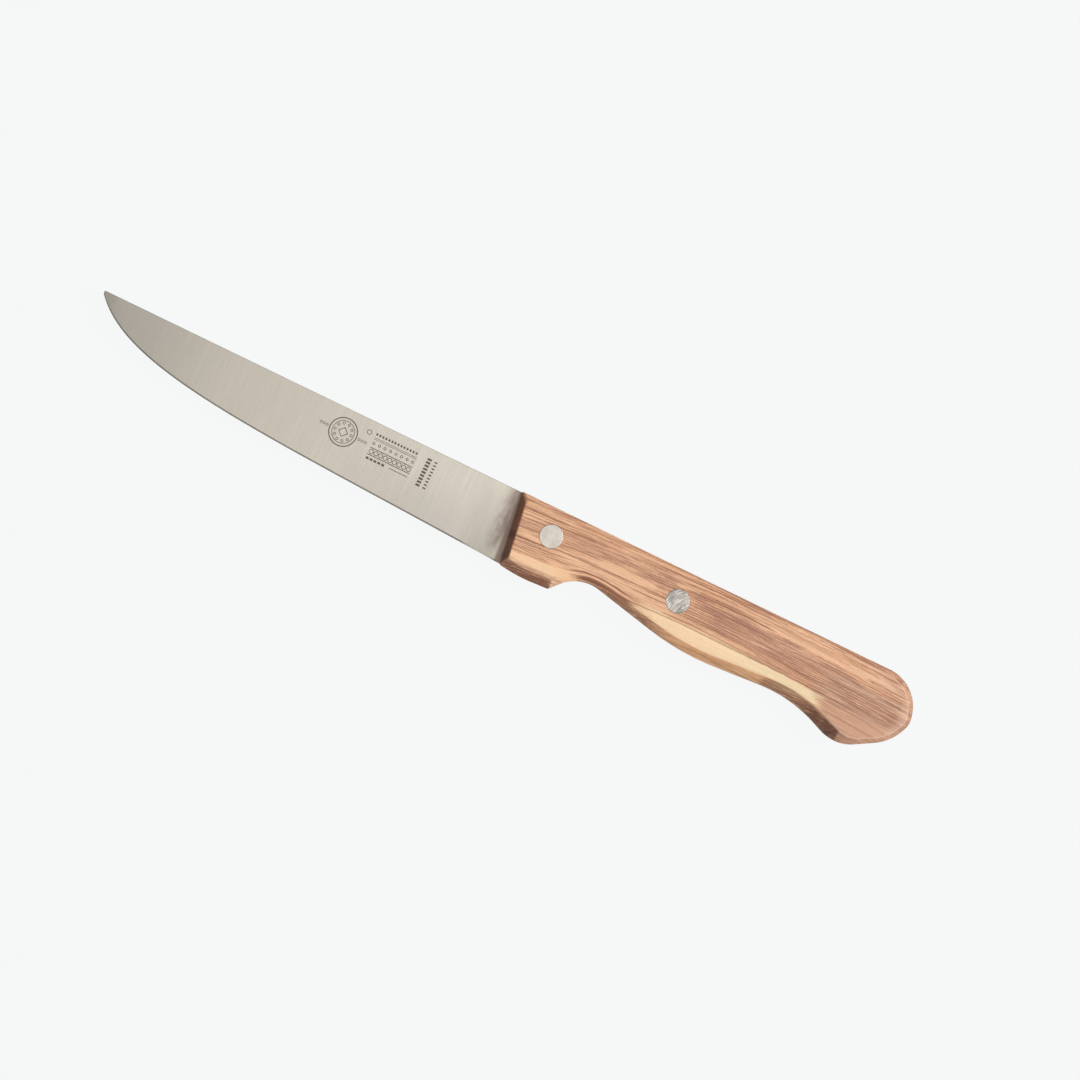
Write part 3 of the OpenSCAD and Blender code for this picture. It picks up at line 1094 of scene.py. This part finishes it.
def make_pieces():
    finish_piece(make_blade(), steel_finish(), "blade_steel", "blade")
    finish_piece(make_mark(), mark_finish(), "blade_steel")
    finish_piece(make_handle(), wood_finish(), "handle_wood", "handle")
    for name, centre in RIVETS.items():
        alloy = alloy_finish(name + "_rivet_alloy", centre, *RIVET_LOOKS[name])
        finish_piece(make_rivet_tube(name, centre), alloy, "rivet_alloy", name + "_rivet_tube")
        finish_piece(make_rivet_pin(name, centre), alloy, "rivet_alloy", name + "_rivet_pin")


# ---------------------------------------------------------------- stage, light and camera

# In metres and watts
FLOOR_HALF = 3
FLOOR_BASE = (0.02, 0.02, 0.02, 1)
FLOOR_GLOW = (0.905, 0.915, 0.915, 1)

# A key light from the butt's side and two softboxes overhead: name, place, aim, side length,
# power and colour
LIGHTS = [
    ("key", (0.75, 0.3, 1.15), (0, 0, 0), 0.6, 15, (1, 0.985, 0.96)),
    ("overhead", (0.1, 0.1, 1.5), (0.1, 0.1, 0), 1.5, 5.2, (1, 1, 1)),
    ("overhead_right", (0.48, 0.1, 1.55), (0.48, 0.1, 0), 1.2, 3.2, (1, 1, 1)),
]
SKY = (0.95, 0.97, 1, 1)
SKY_DIM = 0.08
SKY_BRIGHT = 0.85

# The camera hangs over the knife. SEEN is the width that it sees at the height of FACE_Z.
CAMERA_AT = (0.0126, 0.0023, 1.2)
CAMERA_TURN = 25.85
SENSOR = 36
SEEN = 0.3019
FACE_Z = 0.012


def make_floor():
    """A plain pale floor, mostly self-lit so that it stays even."""
    half = FLOOR_HALF
    mesh = bpy.data.meshes.new("floor")
    corners = [(-half, -half, 0), (half, -half, 0), (half, half, 0), (-half, half, 0)]
    mesh.from_pydata(corners, [], [(0, 1, 2, 3)])
    floor = bpy.data.objects.new("floor", mesh)
    bpy.context.scene.collection.objects.link(floor)
    material = bpy.data.materials.new("pale_floor")
    material.use_nodes = True
    shader = next(n for n in material.node_tree.nodes if n.type == "BSDF_PRINCIPLED")
    shader.inputs["Base Color"].default_value = FLOOR_BASE
    shader.inputs["Roughness"].default_value = 1
    shader.inputs["Specular IOR Level"].default_value = 0
    shader.inputs["Emission Color"].default_value = FLOOR_GLOW
    shader.inputs["Emission Strength"].default_value = 1
    mesh.materials.append(material)


def make_lights():
    for name, place_at, aim, side, power, colour in LIGHTS:
        data = bpy.data.lights.new(name, "AREA")
        data.shape = "SQUARE"
        data.size = side
        data.energy = power
        data.color = colour
        light = bpy.data.objects.new(name, data)
        light.location = place_at
        light.rotation_euler = (Vector(aim) - Vector(place_at)).to_track_quat("-Z", "Y").to_euler()
        bpy.context.scene.collection.objects.link(light)


def make_surroundings():
    """Dim surroundings, which are brighter in reflections from low down so that the steel stays
    bright from every side."""
    world = bpy.data.worlds.new("surroundings")
    bpy.context.scene.world = world
    world.use_nodes = True
    tree = world.node_tree
    background = tree.nodes["Background"]
    background.inputs["Color"].default_value = SKY
    direction = tree.nodes.new("ShaderNodeTexCoord")
    split = tree.nodes.new("ShaderNodeSeparateXYZ")
    tree.links.new(direction.outputs["Generated"], split.inputs[0])
    height = tree.nodes.new("ShaderNodeMapRange")
    limits = {"From Min": 0.45, "From Max": 0.85, "To Min": SKY_BRIGHT, "To Max": SKY_DIM}
    for name, value in limits.items():
        height.inputs[name].default_value = value
    tree.links.new(split.outputs["Z"], height.inputs["Value"])
    path = tree.nodes.new("ShaderNodeLightPath")
    strength = tree.nodes.new("ShaderNodeMix")
    strength.inputs["A"].default_value = SKY_DIM
    tree.links.new(path.outputs["Is Glossy Ray"], strength.inputs["Factor"])
    tree.links.new(height.outputs["Result"], strength.inputs["B"])
    tree.links.new(strength.outputs["Result"], background.inputs["Strength"])


def make_camera():
    """Straight above the knife, turned so that the knife runs down to the right."""
    data = bpy.data.cameras.new("camera")
    data.sensor_width = SENSOR
    data.lens = SENSOR * (CAMERA_AT[2] - FACE_Z) / SEEN
    camera = bpy.data.objects.new("camera", data)
    camera.location = CAMERA_AT
    camera.rotation_euler = (0, 0, math.radians(CAMERA_TURN))
    bpy.context.scene.collection.objects.link(camera)
    bpy.context.scene.camera = camera


make_pieces()
make_floor()
make_lights()
make_surroundings()
make_camera()
bpy.context.scene.view_settings.view_transform = "Standard"
